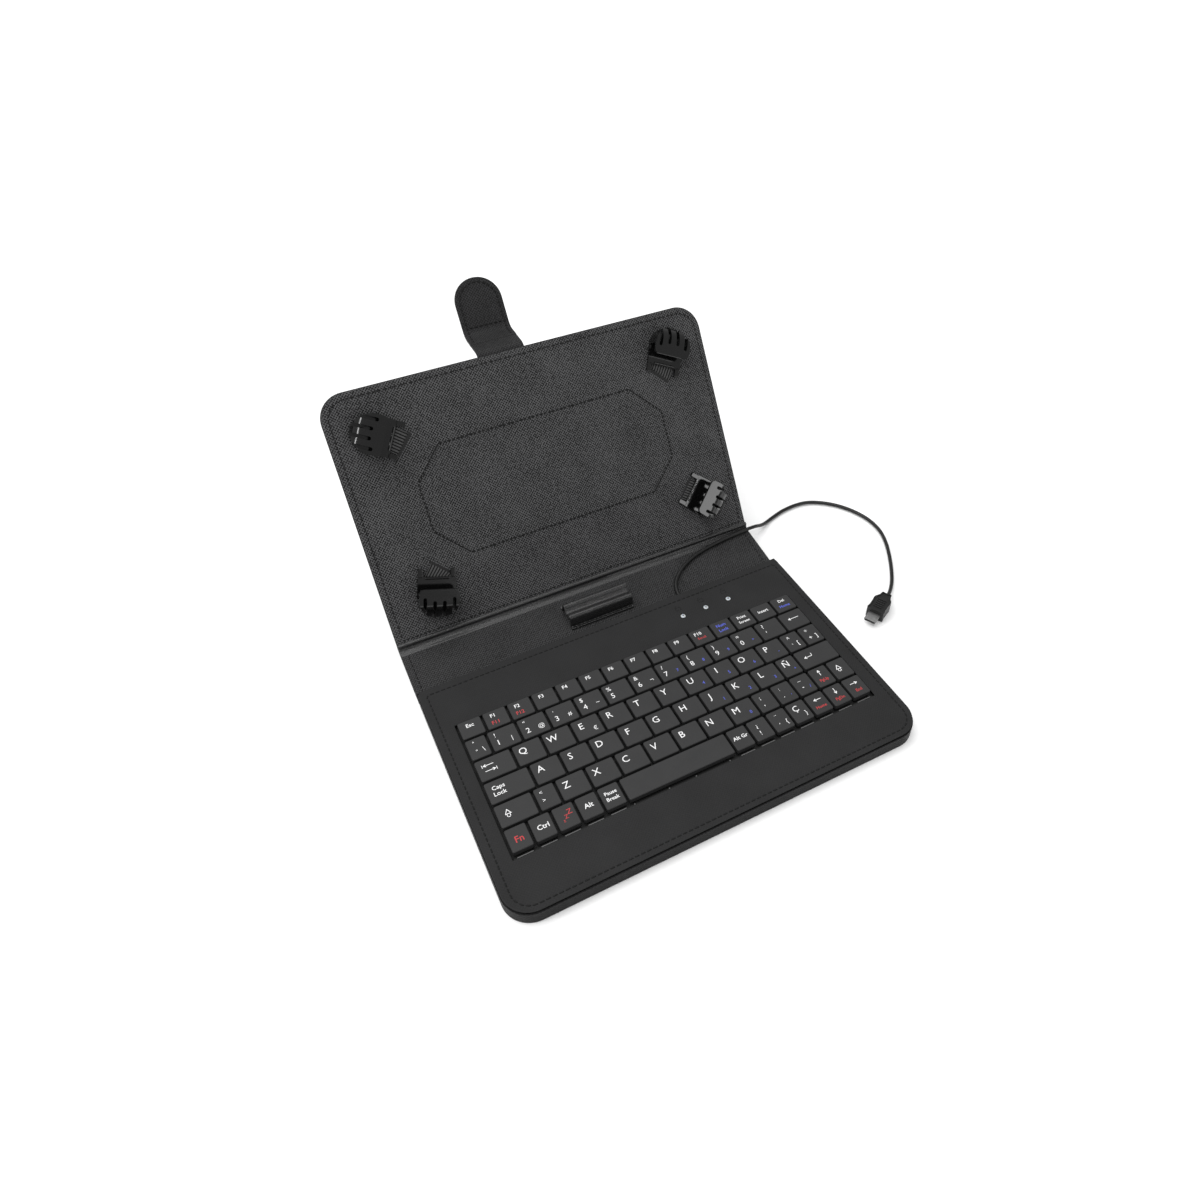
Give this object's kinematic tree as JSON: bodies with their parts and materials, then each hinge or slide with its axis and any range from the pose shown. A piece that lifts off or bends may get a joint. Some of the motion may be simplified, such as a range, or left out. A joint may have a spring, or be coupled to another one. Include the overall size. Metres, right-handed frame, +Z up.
{
  "type": "tablet keyboard case",
  "caption": "Folding leatherette case for a small tablet, with a built-in wired keyboard, corner claws, rear leg, pen loop and closing strap.",
  "frame": {"origin": "centre of the case's footprint on the table, cord left out", "axes": "+X to the user's right along the keyboard, +Y away from the user toward the cover, +Z up"},
  "size_m": [0.2966, 0.2824, 0.1507],
  "materials": {
    "leather_smooth": "smooth matt leatherette, very fine grain, dark grey-black",
    "leather_grain": "cross-hatched leatherette with a slight sheen, grey-black",
    "leather_outer": "cross-hatched leatherette, black",
    "board": "grey-brown stiffening board",
    "filler": "dark foam board",
    "keys": "flat matt charcoal plastic keys",
    "black_plastic": "black plastic",
    "gloss_plastic": "glossy black plastic",
    "black_rubber": "satin black rubbery plastic",
    "silicone": "translucent white silicone",
    "circuit": "green circuit board",
    "lens": "milky white indicator lens",
    "steel": "nickel-plated steel",
    "elastic": "ribbed black elastic webbing"
  },
  "bodies": {
    "base": {"base_outer_skin": "leather_outer", "base_board": "board", "strap_keeper": "steel", "base_frame": "filler", "base_top_leather": "leather_smooth", "keyboard_tray": "black_plastic", "dome_sheet": "silicone", "key_deck": "black_plastic", "controller_board": "circuit", "led_lens_num": "lens", "led_lens_caps": "lens", "led_lens_scroll": "lens", "cord_gland": "black_rubber", "cord": "black_rubber", "plug_body": "black_rubber", "plug_shell": "steel"},
    "spine": {"spine_outer_skin": "leather_outer", "spine_board": "board", "spine_lining": "leather_grain", "pen_loop": "leather_grain"},
    "cover": {"cover_outer_skin": "leather_outer", "cover_board": "board", "cover_lining": "leather_grain", "kickstand_patch": "leather_outer", "strap_anchor": "leather_outer", "elastic_top_left": "elastic", "elastic_top_right": "elastic", "elastic_bottom_left": "elastic", "elastic_bottom_right": "elastic"},
    "kickstand": {"kickstand_sleeve": "leather_outer", "kickstand_board": "board", "kickstand_magnet": "steel"},
    "strap_root": {"strap_root": "leather_outer"},
    "strap_tip": {"strap_tip": "leather_outer", "strap_magnet": "steel"},
    "claw_top_left": {"claw_top_left": "gloss_plastic"},
    "claw_top_right": {"claw_top_right": "gloss_plastic"},
    "claw_bottom_left": {"claw_bottom_left": "gloss_plastic"},
    "claw_bottom_right": {"claw_bottom_right": "gloss_plastic"},
    "key_esc": {"key_esc": "keys"},
    "keys_function_row": {"keys_function_row": "keys"},
    "keys_number_row": {"keys_number_row": "keys"},
    "key_backspace": {"key_backspace": "keys"},
    "key_tab": {"key_tab": "keys"},
    "keys_upper_letters": {"keys_upper_letters": "keys"},
    "key_caps_lock": {"key_caps_lock": "keys"},
    "keys_home_letters": {"keys_home_letters": "keys"},
    "key_enter": {"key_enter": "keys"},
    "key_shift_left": {"key_shift_left": "keys"},
    "keys_lower_letters": {"keys_lower_letters": "keys"},
    "key_up": {"key_up": "keys"},
    "key_shift_right": {"key_shift_right": "keys"},
    "key_fn": {"key_fn": "keys"},
    "keys_control_group": {"keys_control_group": "keys"},
    "key_space": {"key_space": "keys"},
    "keys_symbol_group": {"keys_symbol_group": "keys"},
    "key_left": {"key_left": "keys"},
    "key_down": {"key_down": "keys"},
    "key_right": {"key_right": "keys"}
  },
  "joints": [
    {"name": "spine_fold", "type": "hinge", "parent": "base", "child": "spine", "pos_m": [0, -0.00409, 0.0025], "axis": [1, 0, 0], "range_deg": [-8.9, 81], "deforming": ["cord"]},
    {"name": "cover_fold", "type": "hinge", "parent": "spine", "child": "cover", "pos_m": [0, 0.02671, 0.00735], "axis": [1, 0, 0], "range_deg": [-58.4, 40.4]},
    {"name": "kickstand_fold", "type": "hinge", "parent": "cover", "child": "kickstand", "pos_m": [0, 0.08472, 0.0879], "axis": [1, 0, 0], "range_deg": [-48.5, 0]},
    {"name": "strap_root_fold", "type": "hinge", "parent": "cover", "child": "strap_root", "pos_m": [-0.0083, 0.10456, 0.12454], "axis": [1, 0, 0], "range_deg": [-40, 146]},
    {"name": "strap_tip_fold", "type": "hinge", "parent": "strap_root", "child": "strap_tip", "pos_m": [-0.0083, 0.12478, 0.12477], "axis": [1, 0, 0], "range_deg": [-57, 32]},
    {"name": "claw_top_left_slide", "type": "slide", "parent": "cover", "child": "claw_top_left", "axis": [-0.866, 0.262, 0.4259], "range_m": [0, 0.008], "stiffness_N_per_m": 250, "deforming": ["elastic_top_left"]},
    {"name": "claw_top_right_slide", "type": "slide", "parent": "cover", "child": "claw_top_right", "axis": [0.4384, 0.471, 0.7655], "range_m": [0, 0.008], "stiffness_N_per_m": 250, "deforming": ["elastic_top_right"]},
    {"name": "claw_bottom_left_slide", "type": "slide", "parent": "cover", "child": "claw_bottom_left", "axis": [-0.2924, -0.5011, -0.8145], "range_m": [0, 0.008], "stiffness_N_per_m": 250, "deforming": ["elastic_bottom_left"]},
    {"name": "claw_bottom_right_slide", "type": "slide", "parent": "cover", "child": "claw_bottom_right", "axis": [0.7314, -0.3574, -0.5809], "range_m": [0, 0.008], "stiffness_N_per_m": 250, "deforming": ["elastic_bottom_right"]},
    {"name": "key_esc_press", "type": "slide", "parent": "base", "child": "key_esc", "axis": [0, 0, -1], "range_m": [0, 0.0015], "stiffness_N_per_m": 300},
    {"name": "keys_function_row_press", "type": "slide", "parent": "base", "child": "keys_function_row", "axis": [0, 0, -1], "range_m": [0, 0.0015], "stiffness_N_per_m": 4200},
    {"name": "keys_number_row_press", "type": "slide", "parent": "base", "child": "keys_number_row", "axis": [0, 0, -1], "range_m": [0, 0.0015], "stiffness_N_per_m": 3600},
    {"name": "key_backspace_press", "type": "slide", "parent": "base", "child": "key_backspace", "axis": [0, 0, -1], "range_m": [0, 0.0015], "stiffness_N_per_m": 300},
    {"name": "key_tab_press", "type": "slide", "parent": "base", "child": "key_tab", "axis": [0, 0, -1], "range_m": [0, 0.0015], "stiffness_N_per_m": 300},
    {"name": "keys_upper_letters_press", "type": "slide", "parent": "base", "child": "keys_upper_letters", "axis": [0, 0, -1], "range_m": [0, 0.0015], "stiffness_N_per_m": 3600},
    {"name": "key_caps_lock_press", "type": "slide", "parent": "base", "child": "key_caps_lock", "axis": [0, 0, -1], "range_m": [0, 0.0015], "stiffness_N_per_m": 300},
    {"name": "keys_home_letters_press", "type": "slide", "parent": "base", "child": "keys_home_letters", "axis": [0, 0, -1], "range_m": [0, 0.0015], "stiffness_N_per_m": 3000},
    {"name": "key_enter_press", "type": "slide", "parent": "base", "child": "key_enter", "axis": [0, 0, -1], "range_m": [0, 0.0015], "stiffness_N_per_m": 300},
    {"name": "key_shift_left_press", "type": "slide", "parent": "base", "child": "key_shift_left", "axis": [0, 0, -1], "range_m": [0, 0.0015], "stiffness_N_per_m": 300},
    {"name": "keys_lower_letters_press", "type": "slide", "parent": "base", "child": "keys_lower_letters", "axis": [0, 0, -1], "range_m": [0, 0.0015], "stiffness_N_per_m": 3300},
    {"name": "key_up_press", "type": "slide", "parent": "base", "child": "key_up", "axis": [0, 0, -1], "range_m": [0, 0.0015], "stiffness_N_per_m": 300},
    {"name": "key_shift_right_press", "type": "slide", "parent": "base", "child": "key_shift_right", "axis": [0, 0, -1], "range_m": [0, 0.0015], "stiffness_N_per_m": 300},
    {"name": "key_fn_press", "type": "slide", "parent": "base", "child": "key_fn", "axis": [0, 0, -1], "range_m": [0, 0.0015], "stiffness_N_per_m": 300},
    {"name": "keys_control_group_press", "type": "slide", "parent": "base", "child": "keys_control_group", "axis": [0, 0, -1], "range_m": [0, 0.0015], "stiffness_N_per_m": 1200},
    {"name": "key_space_press", "type": "slide", "parent": "base", "child": "key_space", "axis": [0, 0, -1], "range_m": [0, 0.0015], "stiffness_N_per_m": 300},
    {"name": "keys_symbol_group_press", "type": "slide", "parent": "base", "child": "keys_symbol_group", "axis": [0, 0, -1], "range_m": [0, 0.0015], "stiffness_N_per_m": 1200},
    {"name": "key_left_press", "type": "slide", "parent": "base", "child": "key_left", "axis": [0, 0, -1], "range_m": [0, 0.0015], "stiffness_N_per_m": 300},
    {"name": "key_down_press", "type": "slide", "parent": "base", "child": "key_down", "axis": [0, 0, -1], "range_m": [0, 0.0015], "stiffness_N_per_m": 300},
    {"name": "key_right_press", "type": "slide", "parent": "base", "child": "key_right", "axis": [0, 0, -1], "range_m": [0, 0.0015], "stiffness_N_per_m": 300}
  ]
}
